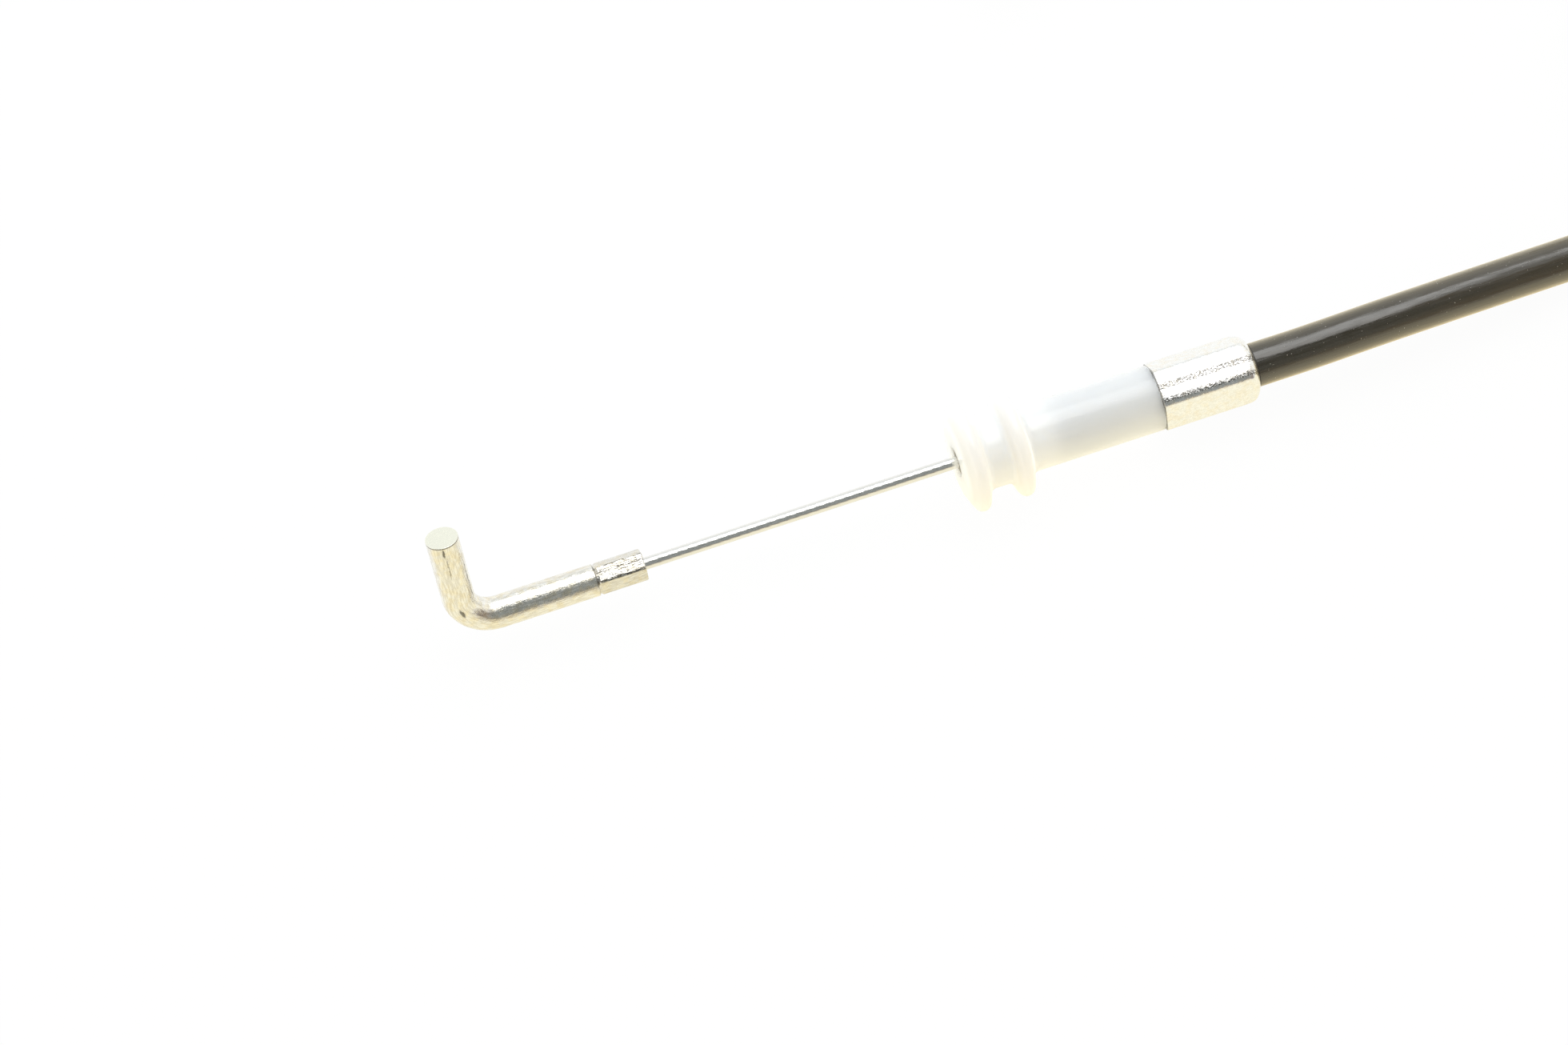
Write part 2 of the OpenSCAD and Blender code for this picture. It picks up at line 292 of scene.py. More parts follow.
black = Finish("sheath_black", IOR=1.6, Specular_IOR_Level=0.85, Sheen_Weight=1.0,
               Sheen_Roughness=0.47, Sheen_Tint=rgb(1.0, 0.84, 0.54))
die_lines = black.noise(black.straight((0.08, 1, 1)), die_line_w, detail=3, roughness=0.6)
dust = black.ramp(black.noise(black.straight(), dust_size, detail=0), 0.82, 0.86)
patches = black.noise(black.straight((0.3, 1, 1)), patch_size, detail=4)
clean = black.mix(patches, rgb(0.006, 0.0045, 0.0015), rgb(0.012, 0.0085, 0.0035))
black.fill(black.shader, {
    "Base Color": black.mix(dust, clean, rgb(0.30, 0.28, 0.25)),
    "Roughness": black.ramp(die_lines, 0.40, 0.60, 0.08, 0.27),
    "Normal": black.bump(die_lines, die_line_h, black.bump(dust, dust_h))})

sheath_line = smooth_line(np.concatenate([run_line, coil_line, tail_line]), sheath_step)
sheath = skin("sheath", *tube_rings(sheath_line, sheath_r, sheath_around))
sheath.data.materials.append(black.material)
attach(sheath, "conduit")
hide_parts("sheath_run", "sheath_coil", "sheath_tail")

# --- Coil ties ------------------------------------------------------------------------------------
# Two natural nylon cable ties hold the coil. The strap is pulled tight round the turns, goes
# through the head's slot with its teeth inwards, and is cut off short.
strap_w, strap_t = 0.0025, 0.0009
strap_stations = 96
tie_clear = 0.0003
head_side, head_t = 0.0044, 0.0030
head_corner = 0.0005
stub_l = 0.0015
tooth_h, tooth_pitch = 0.00012, 0.0005
cloud_size = 0.0012
nylon_grain, nylon_grain_h = 0.0002, 0.000004


def tie_at(angle):
    """Middle of the strap's thickness round the turns that pass an angle, as (way out, height), its
    outward directions, and the head's middle. For each direction the strap lies on the pass that
    reaches furthest that way."""
    passes = np.stack(coil_pass(np.arange((angle + pi / 2) / (2 * pi), coil_turns, 1))[1:], 1)
    turned = np.linspace(0, 2 * pi, strap_stations, endpoint=False)
    out = np.stack([np.cos(turned), np.sin(turned)], 1)
    furthest = passes[np.argmax(out @ passes.T, 1)]
    head = [passes[0, 0] + sheath_r + tie_clear, (passes[0, 1] + passes[-1, 1]) / 2]
    return furthest + (sheath_r + tie_clear + strap_t / 2) * out, out, head


def soft_square(half_w, half_h, points=24, corner=0.35):
    """Points round a rectangle with round corners: half sides times cosine and sine, each to a
    small power."""
    turned = np.linspace(0, 2 * pi, points, endpoint=False)
    c, s = np.cos(turned), np.sin(turned)
    return half_w * np.sign(c) * np.abs(c) ** corner, half_h * np.sign(s) * np.abs(s) ** corner


def in_radial_plane(out, level, height, angle):
    """Points at a way out from the coil's middle, a level way square to it and a height, at an
    angle round it."""
    x = coil_middle[0] + out * cos(angle) - level * sin(angle)
    y = coil_middle[1] + out * sin(angle) + level * cos(angle)
    return np.stack(np.broadcast_arrays(x, y, height), -1)


nylon = Finish("tie_nylon", Roughness=0.42, IOR=1.53, Subsurface_Weight=0.5,
               Subsurface_Radius=(1, 0.9, 0.75), Subsurface_Scale=0.0008)
clouds = nylon.noise(nylon.straight(), cloud_size, detail=3)
nylon.fill(nylon.shader, {
    "Base Color": nylon.mix(clouds, rgb(0.76, 0.75, 0.70), rgb(0.84, 0.83, 0.79)),
    "Roughness": nylon.ramp(clouds, 0.3, 0.7, 0.36, 0.5),
    "Normal": nylon.bump(nylon.noise(nylon.straight(), nylon_grain), nylon_grain_h)})

for tie_name, tie_angle in (("coil_tie_a", 0), ("coil_tie_b", pi)):
    line, out, head = tie_at(tie_angle)
    across, thick = soft_square(strap_w / 2, strap_t / 2)
    strap = in_radial_plane(line[:, :1] + out[:, :1] * thick, across[None],
                            line[:, 1:] + out[:, 1:] * thick, tie_angle)
    strap = skin(tie_name + "_strap", strap[::-1], loop=True)

    # The head's outline shrinks at both faces as a quarter circle does
    turned = np.linspace(0, pi / 2, 7)
    inset, rise = head_corner * (1 - np.sin(turned)), head_corner * (1 - np.cos(turned))
    way_out = np.concatenate([rise, head_t - rise[::-1]])[:, None]
    half = head_side / 2 - np.concatenate([inset, inset[::-1]])[:, None]
    level, height = soft_square(1, 1, 48, 0.25)
    block = in_radial_plane(head[0] + way_out, level * half, head[1] + height * half, tie_angle)
    block = skin(tie_name + "_head", block)

    # The cut end stands out of the head with its teeth on the side of the coil
    rise = np.linspace(0, head_side / 2 + stub_l, 60)[:, None]
    tooth = tooth_h * (1 - (rise / tooth_pitch) % 1)
    across, thick = soft_square(strap_w / 2, 1)
    side = np.where(thick < 0, -strap_t / 2 + tooth, strap_t / 2) * np.abs(thick)
    stub = in_radial_plane(head[0] + head_t / 2 + side, across[None], head[1] + rise, tie_angle)
    stub = skin(tie_name + "_end", stub[:, ::-1])
    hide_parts(tie_name)
    for piece in (strap, block, stub):
        piece.data.materials.append(nylon.material)
        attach(piece, "conduit")

# --- Guides ---------------------------------------------------------------------------------------
# Each end of the conduit sits in a guide moulded from white translucent plastic. Two flanges leave
# a groove for a slotted bracket, and a barrel runs back to the ferrule that is crimped on the
# guide's tail.
guide_low, guide_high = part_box("near_guide")
far_shift = np.array(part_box("far_guide")[0] - guide_low)
both_ends = (("near_", np.zeros(3)), ("far_", far_shift))
flange_r = guide_high.z
flange_tip_r = 0.0009
groove_r = 0.0045
groove_half = 0.0014
barrel_r = 0.0041
front_flange_w, rear_flange_w = 0.0031, 0.0028
hole_r = 0.00185
seat_r = 0.0028
seat_depth = 0.0125
tail_r = 0.0033
ferrule_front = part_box("near_ferrule")[0].x
front_fillet_r, fillet_r = 0.0012, 0.0008
front_edge_r, edge_r = 0.00015, 0.0001
ferrule_clear = 0.00002
guide_around, guide_step = 128, 0.0004


def rounded(corners, steps=9):
    """An outline whose corners, each (along, out, radius), are turned into arcs. An arc touches
    both sides of its corner, and its middle is on the line that halves the corner."""
    corners = np.array(corners)
    point, radius = corners[:, :2], corners[:, 2:]
    to_last, to_next = unit(np.roll(point, 1, 0) - point), unit(np.roll(point, -1, 0) - point)
    half = np.arccos(np.clip((to_last * to_next).sum(1, keepdims=True), -1, 1)) / 2
    middle = point + unit(to_last + to_next) * radius / np.sin(half)
    start = point + to_last * radius / np.tan(half) - middle
    end = point + to_next * radius / np.tan(half) - middle
    sweep = (pi - 2 * half)[:, None]
    part = np.linspace(0, 1, steps)[None, :, None]
    arc = np.sin((1 - part) * sweep) * start[:, None] + np.sin(part * sweep) * end[:, None]
    return (middle[:, None] + arc / np.sin(sweep)).reshape(-1, 2)


def finer(outline, step):
    """The same outline with points added, so that none are more than a step apart."""
    along = way_run(outline)
    at = np.union1d(along, np.arange(0, along[-1], step))
    return np.stack([np.interp(at, along, column) for column in outline.T], 1)


def flange(front, rear):
    """Place (along, out) where the straight flanks of a flange would meet. Each flank starts at the
    groove's floor and touches the rim's circle, so it leans by the angle to the circle's middle,
    less the one whose sine is the circle's radius over the way to that middle."""
    half_w, rim = (rear - front) / 2, flange_r - flange_tip_r
    reach = np.hypot(rim - groove_r, half_w)
    lean = np.arctan2(half_w, rim - groove_r) - np.arcsin(flange_tip_r / reach)
    return (front + rear) / 2, groove_r + half_w / np.tan(lean)


front_x = -groove_half - front_flange_w
rear_x = groove_half + rear_flange_w
seat_x = front_x + seat_depth
barrel_end = ferrule_front - ferrule_clear
tail_end = guide_high.x
guide_outline = rounded([
    (front_x, hole_r, front_edge_r), (front_x, groove_r, front_fillet_r),
    (*flange(front_x, -groove_half), flange_tip_r), (-groove_half, groove_r, fillet_r),
    (groove_half, groove_r, fillet_r), (*flange(groove_half, rear_x), flange_tip_r),
    (rear_x, barrel_r, fillet_r), (barrel_end, barrel_r, front_edge_r),
    (barrel_end, tail_r, edge_r), (tail_end, tail_r, edge_r), (tail_end, seat_r, edge_r),
    (seat_x, seat_r, edge_r), (seat_x, hole_r, edge_r)])
guide_outline = finer(np.concatenate([guide_outline, guide_outline[:1]]), guide_step)[:-1]

# The mould's two halves leave a fine ridge along both sides
parting_angle = radians(12)
parting_h, parting_w = 0.00003, radians(1.2)


def turned_about_x(outline, around):
    """Rings (along, out * cosine, out * sine) round the X axis, one for each point of an outline.
    Further out than the seat, the parting ridge is added: its height times e to the power of minus
    the square of the sine from the parting over the ridge's width."""
    angle = np.linspace(0, 2 * pi, around, endpoint=False)
    ridge = parting_h * np.exp(-((np.sin(angle - parting_angle) / parting_w) ** 2))
    outside = outline[:, 1:] > seat_r * 1.05
    out = outline[:, 1:] + ridge * outside
    return np.stack([outline[:, :1] + 0 * angle, out * np.cos(angle), out * np.sin(angle)], -1)


# The thin barrel is fairest. The flanges are a darker cream, which is painted shade that holds
# them down under the strong light from the table. The part round the jacket is bluer, which is
# painted shade of the dark jacket showing through. The melt flowed in broad bands, and fine
# streaks from the mould run along the guide.
flow_size = 0.0025
streak_w, streak_h = 0.00026, 0.000010
seated_half = 0.003

white = Finish("guide_white", IOR=1.5, Specular_IOR_Level=0.6, Subsurface_Weight=1.0,
               Subsurface_Radius=(1, 0.95, 0.88), Subsurface_Scale=0.0058, Sheen_Weight=1.0,
               Sheen_Roughness=0.5, Sheen_Tint=rgb(1.0, 0.985, 0.94))
flow = white.noise(white.straight((0.5, 1, 1)), flow_size, detail=3)
seated = white.ramp(white.along("X", white.straight()), seat_x - seated_half, seat_x + seated_half)
streaks = white.noise(white.straight((0.22, 1, 1)), streak_w, detail=2)
fair = white.mix(flow, rgb(0.975, 0.975, 0.97), rgb(0.99, 0.99, 0.985))
# Painted shade: the flanges' cream is darker than the barrel's white
shaded_cream = white.mix(flow, rgb(0.755, 0.735, 0.715), rgb(0.785, 0.76, 0.74))
way_out = white.node("VectorMath", "Value", {0: white.straight((0, 1, 1))}, operation="LENGTH")
in_flange = white.ramp(way_out, groove_r - 0.0002, groove_r + 0.0010)
unseated = white.mix(in_flange, fair, shaded_cream)
# Painted shade: the seated part's bluer white stands for the dark jacket showing through
white.fill(white.shader, {
    "Base Color": white.mix(seated, unseated, rgb(0.965, 0.985, 0.985)),
    "Roughness": white.ramp(flow, 0.35, 0.65, 0.07, 0.22),
    "Normal": white.bump(streaks, streak_h)})

guide_rings = turned_about_x(guide_outline, guide_around)
for end, shift in both_ends:
    guide = skin("plastic_" + end + "guide", guide_rings + shift, straight=guide_rings, loop=True)
    guide.data.materials.append(white.material)
    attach(guide, "conduit")
    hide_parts(end + "guide")

# --- Conduit ends ---------------------------------------------------------------------------------
# Inside the guide and ferrule are the conduit's three layers: a grey-brown liner that the wire
# slides in, an armour of flat steel wire wound close, and the end of the black jacket. Only their
# edges show.
brown = Finish("liner_brown", Roughness=0.5, IOR=1.5)
liner_clouds = brown.noise(brown.node("TexCoord", "Object", {}), 0.0006)
brown.fill(brown.shader, {
    "Base Color": brown.mix(liner_clouds, rgb(0.26, 0.235, 0.19), rgb(0.38, 0.35, 0.29)),
    "Normal": brown.bump(liner_clouds, 0.00001)})

# At scale 1, the bands of a wave texture are wave_band metres apart
wave_band = 2 * pi / 20
winding_pitch, winding_h = 0.0011, 0.00008
wound_steel = Finish("armour_steel", Metallic=1.0, Roughness=0.35)
windings = wound_steel.node("TexWave", "Fac", {
    "Vector": wound_steel.node("TexCoord", "Object", {}), "Scale": wave_band / winding_pitch},
    bands_direction="X")
wound_steel.fill(wound_steel.shader, {
    "Base Color": wound_steel.mix(windings, rgb(0.30, 0.29, 0.27), rgb(0.62, 0.61, 0.58)),
    "Normal": wound_steel.bump(windings, winding_h)})

cut_black = Finish("jacket_black", Roughness=0.4, IOR=1.5)
jacket_clouds = cut_black.noise(cut_black.node("TexCoord", "Object", {}), 0.0004)
cut_black.fill(cut_black.shader, {
    "Base Color": cut_black.mix(jacket_clouds, rgb(0.019, 0.016, 0.012), rgb(0.03, 0.025, 0.02)),
    "Normal": cut_black.bump(jacket_clouds, 0.000006)})
for layer, layer_finish, layer_slot in (
        ("liner", brown, "liner_plastic"), ("armour", wound_steel, "armour_steel"),
        ("jacket", cut_black, "sheath_plastic")):
    for end in ("near_", "far_"):
        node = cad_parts[end + layer]
        node.data.materials.clear()
        node.data.materials.append(layer_finish.material)

# --- Ferrules -------------------------------------------------------------------------------------
# A drawn steel cup, zinc plated, is crimped to a hexagon over the guide's tail. Its closed end
# keeps a round shoulder, and the sheath passes through the hole in it.
flat_r = 0.00394
wall = 0.0005
round_r = flat_r / cos(pi / 6) + 0.0002
shoulder_r = 0.0027
hole_edge_r = sheath_r + 0.00005
lip_r = 0.00016
ferrule_turn = radians(7)
ferrule_corner, shoulder_power = 22, 24
side_stations, ferrule_around = 24, 180


def hexagon(angle, corner_at, power):
    """Way out to a hexagon of flats at 1, by angle, with soft corners: the flats' cosines are each
    raised to a high power, added, and the root is taken, so that the nearest flat counts for nearly
    all."""
    flats = corner_at + radians(30) + radians(60) * np.arange(6)
    cosines = np.maximum(np.cos(angle[:, None] - flats), 0)
    return (cosines**power).sum(1) ** (-1 / power)


def softly_less(a, b, power):
    """The smaller of two lengths, blended where they are nearly the same: each is raised to a high
    negative power, they are added, and the root is taken."""
    return (a**-power + b**-power) ** (-1 / power)


def cup_outline(back, flats, rounds, end_r, edge_r):
    """Stations of a cup's side from its open end to its hole: (along, way out to the flats, way out
    to the round that the end is turned from). The round ends in a quarter circle, cut off at the
    hole's edge."""
    turned = np.linspace(0, np.arccos((edge_r - rounds + end_r) / end_r), 15)
    sides = np.linspace(ferrule_front + lip_r, back - end_r, side_stations, endpoint=False)
    along = np.concatenate([sides, back - end_r + end_r * np.sin(turned)])
    out = np.concatenate([np.full(side_stations, rounds), rounds - end_r + end_r * np.cos(turned)])
    return np.stack([along, np.full(len(along), flats), out], 1)


outer = cup_outline(exit_x, flat_r, round_r, shoulder_r, hole_edge_r)
inner = cup_outline(exit_x - wall, flat_r - wall, round_r - wall, shoulder_r - wall, hole_edge_r)

# Half a circle joins the two walls at the open end
lip_turned = np.linspace(-pi / 2, pi / 2, 11)
lip_out = wall / 2 * np.sin(lip_turned)
lip = np.stack([ferrule_front + lip_r * (1 - np.cos(lip_turned)), flat_r - wall / 2 + lip_out,
                round_r - wall / 2 + lip_out], 1)[1:-1]
cup = np.concatenate([lip, outer, inner[::-1]])
cup_angle = np.linspace(0, 2 * pi, ferrule_around, endpoint=False)
cup_flats = cup[:, 1:2] * hexagon(cup_angle, ferrule_turn, ferrule_corner)
cup_out = softly_less(cup_flats, cup[:, 2:], shoulder_power)
cup_rings = np.stack(
    [cup[:, :1] + 0 * cup_angle, cup_out * np.cos(cup_angle), cup_out * np.sin(cup_angle)], -1)

straw_patch = 0.0008
scratch_w, grain_w, speck_w = 0.00016, 0.00020, 0.00013


def zinc_finish(name, bright, straw, peel_size, peel_depth, scratch_stretch, scratch_depth, grain,
                worn_or_shaded):
    """Bright zinc plate on steel: silver with a straw tint in patches, an orange peel of small
    dents, scratches and grain drawn out along the piece, and brown where the plating is worn and
    where painted shade and dark reflections lie. The last argument gives that share as a value from
    0 to 1 for (zinc, place)."""
    zinc = Finish(name, Metallic=1.0)
    place = zinc.straight()
    tint = zinc.ramp(zinc.noise(place, straw_patch, detail=4), 0.4, 0.65)
    peel = zinc.noise(place, peel_size, detail=2, roughness=0.6)
    scratches = zinc.noise(zinc.straight((scratch_stretch, 1, 1)), scratch_w, detail=3,
                           roughness=0.6)
    grain_lines = zinc.noise(zinc.straight((scratch_stretch * 1.3, 1, 1)), grain_w)
    drawn = zinc.ramp(grain_lines, 0.40, 0.60, 0.0, grain)
    plate = zinc.mix(drawn, zinc.mix(tint, bright, straw), rgb(0.48, 0.43, 0.34))
    zinc.fill(zinc.shader, {
        "Base Color": zinc.mix(worn_or_shaded(zinc, place), plate, rgb(0.075, 0.067, 0.056)),
        "Roughness": zinc.ramp(zinc.more(scratches, peel), 0.45, 0.7, 0.08, 0.34),
        "Normal": zinc.bump(scratches, scratch_depth, zinc.bump(peel, peel_depth))})
    return zinc


def ferrule_specks_and_shade(zinc, place):
    """Two lines of dark specks along the ferrule, where the crimping die let go: partly rubbed
    plating, partly a painted dark reflection of the room in the facets there. In front, painted
    shade darkens the lip by the gap to the guide. Each line is given by where across the ferrule it
    starts, is full, fades and is gone."""
    across = zinc.along("Y", place)
    line, low_line = (
        zinc.times(zinc.ramp(across, start, full), zinc.ramp(across, fades, gone, 1, 0))
        for start, full, fades, gone in (
            (-0.0010, -0.0006, 0, 0.0004), (-0.0026, -0.0023, -0.0019, -0.0014)))
    specks = zinc.noise(zinc.straight((0.5, 1, 1)), speck_w, detail=2, roughness=0.7)
    specks = zinc.ramp(zinc.times(specks, zinc.more(line, low_line)), 0.43, 0.53, 0.0, 0.82)
    # Painted shade on the rounded lip at the open end, where the gap to the guide is
    from_edge = zinc.along("X", place)
    edge = zinc.ramp(from_edge, ferrule_front + 0.00006, ferrule_front + 0.00016, 0.6, 0)
    return zinc.more(specks, edge)


ferrule_zinc = zinc_finish(
    "ferrule_zinc", bright=rgb(0.99, 1.0, 1.0), straw=rgb(0.985, 0.955, 0.885),
    peel_size=0.00030, peel_depth=0.000030, scratch_stretch=0.5, scratch_depth=0.000010,
    grain=0.14, worn_or_shaded=ferrule_specks_and_shade)
for end, shift in both_ends:
    ferrule = skin("crimped_" + end + "ferrule", cup_rings + shift, straight=cup_rings, loop=True)
    ferrule.data.materials.append(ferrule_zinc.material)
    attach(ferrule, "conduit")
    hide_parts(end + "ferrule")

# --- Inner wire -----------------------------------------------------------------------------------
# The inner wire is a strand of fine steel wires, drawn smooth. Twelve of them show on the outside
# as shallow grooves that wind along it.
wire_r = 0.00075
strand_lay = 0.015
strand_wires = 12
strand_groove = 0.000006
strand_step = 0.0004
draw_line_w, draw_line_h = 0.00008, 0.000003
wire_patch = 0.0008

steel = Finish("wire_steel", Metallic=1.0)
drawn = steel.noise(steel.straight((0.06, 1, 1)), draw_line_w, detail=3)
wire_tint = steel.noise(steel.straight((0.3, 1, 1)), wire_patch, detail=3)
steel.fill(steel.shader, {
    "Base Color": steel.mix(wire_tint, rgb(0.80, 0.79, 0.76), rgb(0.93, 0.93, 0.91)),
    "Roughness": steel.ramp(drawn, 0.3, 0.7, 0.09, 0.20),
    "Normal": steel.bump(drawn, draw_line_h)})


def strand_rings(start, end):
    """Rings of a strand along X. Its points wind with the wires, and the radius dips between two of
    them by a groove's depth times one less the cosine's size."""
    along = np.linspace(start, end, int((end - start) / strand_step) + 1)
    angle = np.linspace(0, 2 * pi, strand_wires * 6, endpoint=False)
    radius = wire_r - strand_groove * (1 - np.abs(np.cos(strand_wires / 2 * angle)))
    wound = angle + 2 * pi * along[:, None] / strand_lay
    return np.stack(
        [along[:, None] + 0 * wound, radius * np.cos(wound), radius * np.sin(wound)], -1)


for body, (end, shift) in zip(("hook", "nipple"), both_ends):
    wire_name = body + "_wire"
    wire_low, wire_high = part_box(wire_name)
    rings = strand_rings(wire_low.x - shift[0], wire_high.x - shift[0])
    wire = skin("strand_" + wire_name, rings + shift, straight=rings)
    wire.data.materials.append(steel.material)
    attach(wire, body)
    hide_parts(wire_name)
    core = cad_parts[end + "core_wire"]
    core.data.materials.clear()
    core.data.materials.append(steel.material)

# --- Hook -----------------------------------------------------------------------------------------
# The hook is a round steel rod bent to an L, zinc plated after a shear has cut its leg's end flat.
# The rear of its shank is drilled, turned down a little and crimped to a hexagon on the wire.
hook_r = 0.002
hook_around, hook_step = 96, 0.00025
shank_l = 0.0165
leg_tilt = radians(60)
leg_l = 0.0136
bend_r = 0.0043
crimp_l = 0.0061
crimp_flat_r = 0.001775
crimp_ramp = 0.0004
crimp_corner = 40
crimp_turn = radians(-6)
bore_r = 0.0008
crimp_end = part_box("hook_end")[1].x
bend_from = crimp_l + shank_l - bend_r
leg_from = bend_from + bend_r * pi / 2
hook_l = leg_from + leg_l - bend_r
leg_way = np.array([0, cos(leg_tilt), sin(leg_tilt)])
back_way = np.array([-1.0, 0, 0])

# The first and last corners only give the outline's two ends. A fan of triangles closes the bore's
# floor and the middle of the leg's end face there.
open_r = 0.00001
hook_outline = rounded([
    (crimp_l, bore_r, open_r), (0, bore_r, 0.00006), (0, crimp_flat_r, 0.00018),
    (crimp_l - crimp_ramp, crimp_flat_r, 0.0002),
    (crimp_l - 0.00006, crimp_flat_r - 0.00004, 0.00004), (crimp_l, hook_r, 0.00008),
    (hook_l, hook_r, 0.00006), (hook_l, 0.0003, open_r)])
hook_outline = finer(hook_outline[8:-8], hook_step)


def hook_rings(outline, angle):
    """Rings of the hook for an outline of (way along the rod, way out). The rod's middle runs back
    along the shank, round the bend and up the leg, and the way out is stretched to a hexagon on the
    crimp."""
    along, out = outline[:, 0], outline[:, 1]
    turned = np.clip((along - bend_from) / bend_r, 0, pi / 2)[:, None]
    middle = (np.array([crimp_end, 0, 0]) + back_way * np.minimum(along, bend_from)[:, None]
              + bend_r * (np.sin(turned) * back_way + (1 - np.cos(turned)) * leg_way)
              + leg_way * np.maximum(along - leg_from, 0)[:, None])
    side = np.cos(turned) * leg_way - np.sin(turned) * back_way
    square_to_both = np.cross(back_way, leg_way)
    hexness = np.clip((crimp_l - along) / crimp_ramp, 0, 1) * (out > 1.2 * bore_r)
    out = out[:, None] * hexagon(angle, crimp_turn, crimp_corner) ** hexness[:, None]
    c, s = out * np.cos(angle), out * np.sin(angle)
    across = c[..., None] * side[:, None] + s[..., None] * square_to_both
    return middle[:, None] + across, np.stack([along[:, None] + 0 * out, c, s], -1)


def hook_wear_and_shade(zinc, place):
    """A nick under the leg's rim with a faint scratch below it, a long scratch down the leg's inner
    side, a nick at the outside of the bend, and specks rubbed in rows on the crimp. A thin dark
    ring just under the leg's rim, and painted shade along the step where the crimp starts, are
    added too."""
    wobble = zinc.ramp(zinc.noise(place, 0.0005), 0.3, 0.7, -0.00007, 0.00007)
    moved = zinc.node("VectorMath", "Vector", {0: place, 1: wobble}, operation="ADD")
    marks = 0.0
    for from_end, turned, half_l, half_w, depth in (
            (0.0009, -101, 0.0008, 0.00020, 0.8), (0.0032, -97, 0.0022, 0.00012, 0.5),
            (0.0062, -32, 0.0054, 0.00016, 0.6), (0.0105, -100, 0.0009, 0.00028, 0.8)):
        at = (hook_l - from_end, hook_r * cos(radians(turned)), hook_r * sin(radians(turned)))
        mark = zinc.times(zinc.near(moved, at, (half_l, half_w, half_w)), depth)
        marks = zinc.more(marks, mark)
    along = zinc.along("X", place)
    rim = zinc.band(along, hook_l - 0.00012, 0.00010)
    step = zinc.band(along, crimp_l, 0.00014)

    # How far out and how far across a place lies on the crimp's top facet
    top = crimp_turn - radians(30)
    out = zinc.node("VectorMath", "Value", {0: place, 1: (0, cos(top), sin(top))},
                    operation="DOT_PRODUCT")
    across = zinc.node("VectorMath", "Value", {0: place, 1: (0, -sin(top), cos(top))},
                       operation="DOT_PRODUCT")
    rows = 0.0
    for row, half_w in ((0.00030, 0.00030), (-0.00090, 0.00032), (0.00096, 0.00018)):
        rows = zinc.more(rows, zinc.band(across, row, half_w, 0.8))
    specks = zinc.noise(zinc.straight((0.25, 1, 1)), speck_w, detail=2, roughness=0.7)
    specks = zinc.ramp(zinc.times(specks, zinc.ramp(rows, 0, 1, 0.88, 1.04)), 0.46, 0.56, 0.0, 0.85)
    specks = zinc.more(zinc.times(specks, zinc.ramp(out, 0.00165, 0.00173, 0.3, 1)), 0.12)
    on_crimp = zinc.ramp(along, crimp_l - 0.0002, crimp_l + 0.0002, 1, 0)
    # Painted shade along the step where the crimp starts, stronger towards the top facet
    step_shade = zinc.times(step, zinc.ramp(out, 0.0012, 0.0017, 0.2, 1))
    edges = zinc.times(zinc.more(rim, step_shade), 0.7)
    return zinc.more(zinc.more(marks, edges), zinc.times(on_crimp, specks))


hook_zinc = zinc_finish(
    "hook_zinc", bright=rgb(0.96, 0.95, 0.90), straw=rgb(0.95, 0.89, 0.73),
    peel_size=0.00028, peel_depth=0.000020, scratch_stretch=0.13, scratch_depth=0.000028,
    grain=0.34, worn_or_shaded=hook_wear_and_shade)

# The leg's end face was cut by the shear: bright, and without the drawn grain
plated = hook_zinc.shader.inputs["Base Color"].links[0].from_socket
way_up_rod = hook_zinc.along("X", hook_zinc.straight())
cut = hook_zinc.ramp(way_up_rod, hook_l - 0.00003, hook_l - 0.00001)
hook_zinc.fill(hook_zinc.shader, {"Base Color": hook_zinc.mix(cut, plated, rgb(0.99, 0.985, 0.86))})
hook_angle = np.linspace(0, 2 * pi, hook_around, endpoint=False)
hook = skin("bent_hook", *hook_rings(hook_outline, hook_angle))
hook.data.materials.append(hook_zinc.material)
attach(hook, "hook")
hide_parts("hook_end")

# --- Nipple ---------------------------------------------------------------------------------------
# The barrel nipple is cast in zinc alloy straight onto the wire's end. It is dull, with the fine
# skin of a die casting and soft edges.
nipple_low, nipple_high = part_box("end_nipple")
nipple_middle = np.array((nipple_low + nipple_high) / 2)
nipple_r = (nipple_high.x - nipple_low.x) / 2
nipple_half = (nipple_high.z - nipple_low.z) / 2
nipple_edge = 0.00035
nipple_around, nipple_step = 96, 0.0005

skin_size, skin_h = 0.00025, 0.00002
cast_patch = 0.0006

cast = Finish("cast_zinc", Metallic=1.0)
cast_skin = cast.noise(cast.straight(), skin_size, detail=4, roughness=0.7)
cast_clouds = cast.ramp(cast.noise(cast.straight(), cast_patch, detail=4), 0.3, 0.7)
cast.fill(cast.shader, {
    "Base Color": cast.mix(cast_clouds, rgb(0.44, 0.44, 0.43), rgb(0.58, 0.58, 0.57)),
    "Roughness": cast.ramp(cast_skin, 0.3, 0.7, 0.34, 0.52),
    "Normal": cast.bump(cast_skin, skin_h)})

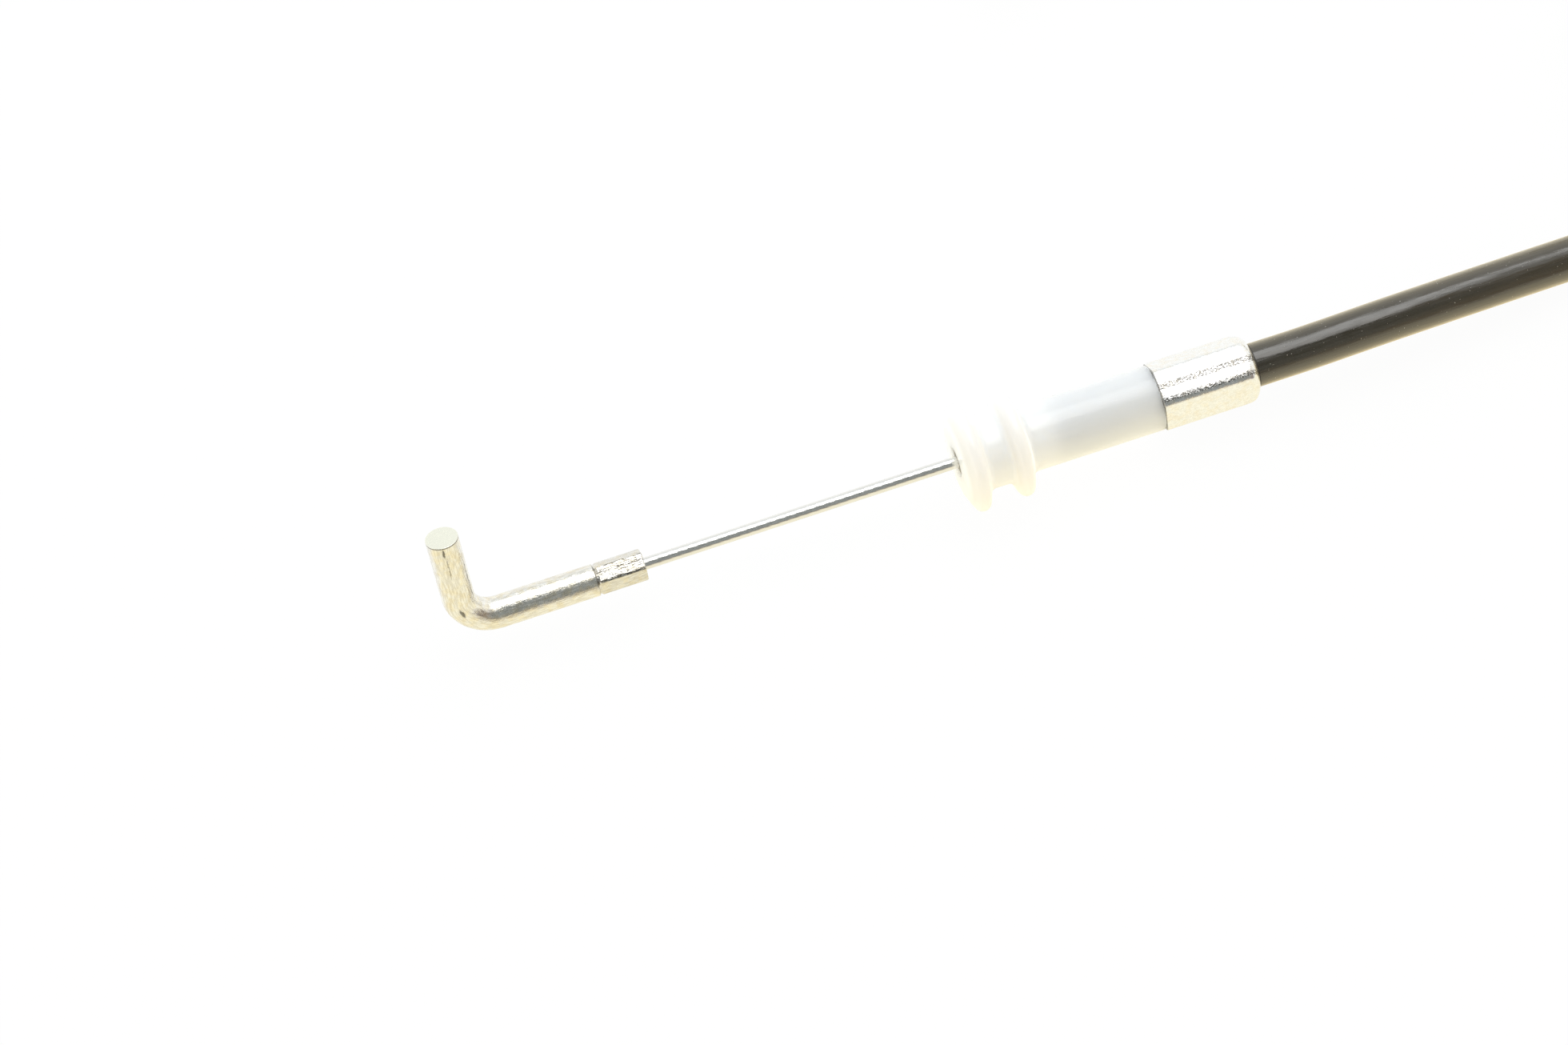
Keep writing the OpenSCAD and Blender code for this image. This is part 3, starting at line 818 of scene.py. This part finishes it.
# Turned about Z, from a point near the middle of one end face to the same of the other
nipple_outline = rounded([
    (-nipple_half, 0.0003, open_r), (-nipple_half, nipple_r, nipple_edge),
    (nipple_half, nipple_r, nipple_edge), (nipple_half, 0.0003, open_r)])
nipple_outline = finer(nipple_outline[8:-8], nipple_step)
nipple_up, nipple_out = nipple_outline[:, :1], nipple_outline[:, 1:]
nipple_angle = np.linspace(0, 2 * pi, nipple_around, endpoint=False)
nipple_rings = np.stack([nipple_out * np.cos(nipple_angle), nipple_out * np.sin(nipple_angle),
                         nipple_up + 0 * nipple_angle], -1)
nipple = skin("cast_nipple", nipple_rings + nipple_middle, straight=nipple_rings)
nipple.data.materials.append(cast.material)
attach(nipple, "nipple")
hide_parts("end_nipple")

# --- Studio ---------------------------------------------------------------------------------------
# The cable lies on a bright white table between white walls. One soft box hangs behind it, as the
# camera sees it. The camera, its user and the ceiling over them are the only dark things around.
table_half = 3.0
table_mesh = bpy.data.meshes.new("table")
table_mesh.from_pydata([
    (-table_half, -table_half, surface_z), (table_half, -table_half, surface_z),
    (table_half, table_half, surface_z), (-table_half, table_half, surface_z)], [], [(0, 1, 2, 3)])
table = bpy.data.objects.new("table", table_mesh)
scene.collection.objects.link(table)

back_way_level = np.array([-sin(azimuth), cos(azimuth), 0.0])
right_way = np.array([cos(azimuth), sin(azimuth), 0.0])

# The table shines, warmly in front of the wire and neutrally behind it, and a small share of it is
# lit, so that it keeps a soft shadow. It sends diffuse surfaces more light than reflections show of
# it, and the camera sees it white.
shadow_share = 0.05
warm_y, neutral_y = -0.006, 0.008
table_white = Finish("table_white")
tree = table_white.tree
rays = tree.nodes.new("ShaderNodeLightPath").outputs
place = table_white.node("TexCoord", "Object", {})
behind = table_white.ramp(table_white.along("Y", place), warm_y, neutral_y)
reflected = table_white.mix(behind, rgb(1.0, 0.945, 0.75), rgb(1.0, 1.0, 0.98))
bounced = table_white.mix(behind, rgb(2.00, 1.85, 1.38), rgb(1.20, 1.28, 1.32))
unseen = table_white.mix(rays["Is Diffuse Ray"], reflected, bounced)
shines = tree.nodes.new("ShaderNodeEmission")
shown = table_white.mix(rays["Is Camera Ray"], unseen, rgb(1, 1, 1))
table_white.fill(shines, {"Color": shown, "Strength": 1.0})
lit = tree.nodes.new("ShaderNodeBsdfDiffuse")
shaded = table_white.mix(rays["Is Camera Ray"], unseen, rgb(0.92, 0.92, 0.92))
table_white.fill(lit, {"Color": shaded})
clear = table_white.more(rays["Is Camera Ray"], rays["Is Glossy Ray"])
clear = table_white.more(clear, rays["Is Transmission Ray"])
shining = table_white.ramp(clear, 0, 1, 1.0, 1 - shadow_share)
both = table_white.node("MixShader", 0, {0: shining, 1: lit.outputs[0], 2: shines.outputs[0]})
tree.links.new(both, tree.nodes["Material Output"].inputs["Surface"])
table_mesh.materials.append(table_white.material)

world = bpy.data.worlds.new("studio")
scene.world = world
world.use_nodes = True
sky = Nodes(world.node_tree)
way = sky.node("TexCoord", "Generated", {})


def dark_round(height, aside, inner, outer):
    """1 within the inner angle of a direction on the camera's side, and 0 past the outer angle. All
    four angles are in degrees."""
    height, aside = radians(height), radians(aside)
    level = -back_way_level * cos(aside) + right_way * sin(aside)
    middle = tuple(level * cos(height) + [0, 0, sin(height)])
    facing = sky.node("VectorMath", "Value", {0: way, 1: middle}, operation="DOT_PRODUCT")
    return sky.ramp(facing, cos(radians(outer)), cos(radians(inner)))


# White walls, warmer on the camera's side, and brightest to the left and right
along_y = sky.ramp(sky.along("Y", way), -0.6, 0.4)
along_x = sky.node("Math", 0, {0: sky.along("X", way)}, operation="ABSOLUTE")
walls = sky.mix(along_y, rgb(0.86, 0.79, 0.62), rgb(0.87, 0.89, 0.89))
walls = sky.mix(sky.ramp(along_x, 0.3, 0.7), walls, rgb(1.0, 1.0, 0.98))

# The user, the ceiling's soft edge, and in it the camera with its cluttered surroundings
clutter = sky.ramp(sky.noise(way, 0.08, detail=2), 0.35, 0.65)
cluttered = sky.mix(clutter, rgb(0.13, 0.14, 0.135), rgb(0.42, 0.44, 0.43))
room = sky.mix(dark_round(28, 64, 16, 31), walls, rgb(0.26, 0.22, 0.20))
room = sky.mix(dark_round(58, 0, 42, 56), room, rgb(0.40, 0.33, 0.26))
room = sky.mix(dark_round(58, 0, 34, 50), room, cluttered)

# Diffuse surfaces get the room's light as one even glow, cool from behind and warm from the front
sky_rays = sky.tree.nodes.new("ShaderNodeLightPath").outputs
glow = sky.mix(along_y, rgb(0.66, 0.61, 0.49), rgb(1.06, 1.12, 1.15))
room = sky.mix(sky_rays["Is Diffuse Ray"], room, glow)
backdrop = sky.mix(sky_rays["Is Camera Ray"], room, rgb(1, 1, 1))
sky.fill(sky.tree.nodes["Background"], {"Color": backdrop, "Strength": 1.0})

softbox_height, softbox_distance = radians(65), 0.9
softbox_size = (0.72, 0.69)
softbox_light = 2.0
softbox = bpy.data.objects.new("softbox", bpy.data.lights.new("softbox", "AREA"))
softbox.data.shape = "RECTANGLE"
softbox.data.size, softbox.data.size_y = softbox_size
softbox.data.energy = pi * softbox_size[0] * softbox_size[1] * softbox_light
towards_softbox = back_way_level * cos(softbox_height) + [0, 0, sin(softbox_height)]
softbox.location = towards_softbox * softbox_distance
softbox.rotation_euler = (softbox_height - pi / 2, 0, azimuth)
scene.collection.objects.link(softbox)

scene.view_settings.view_transform = "Standard"
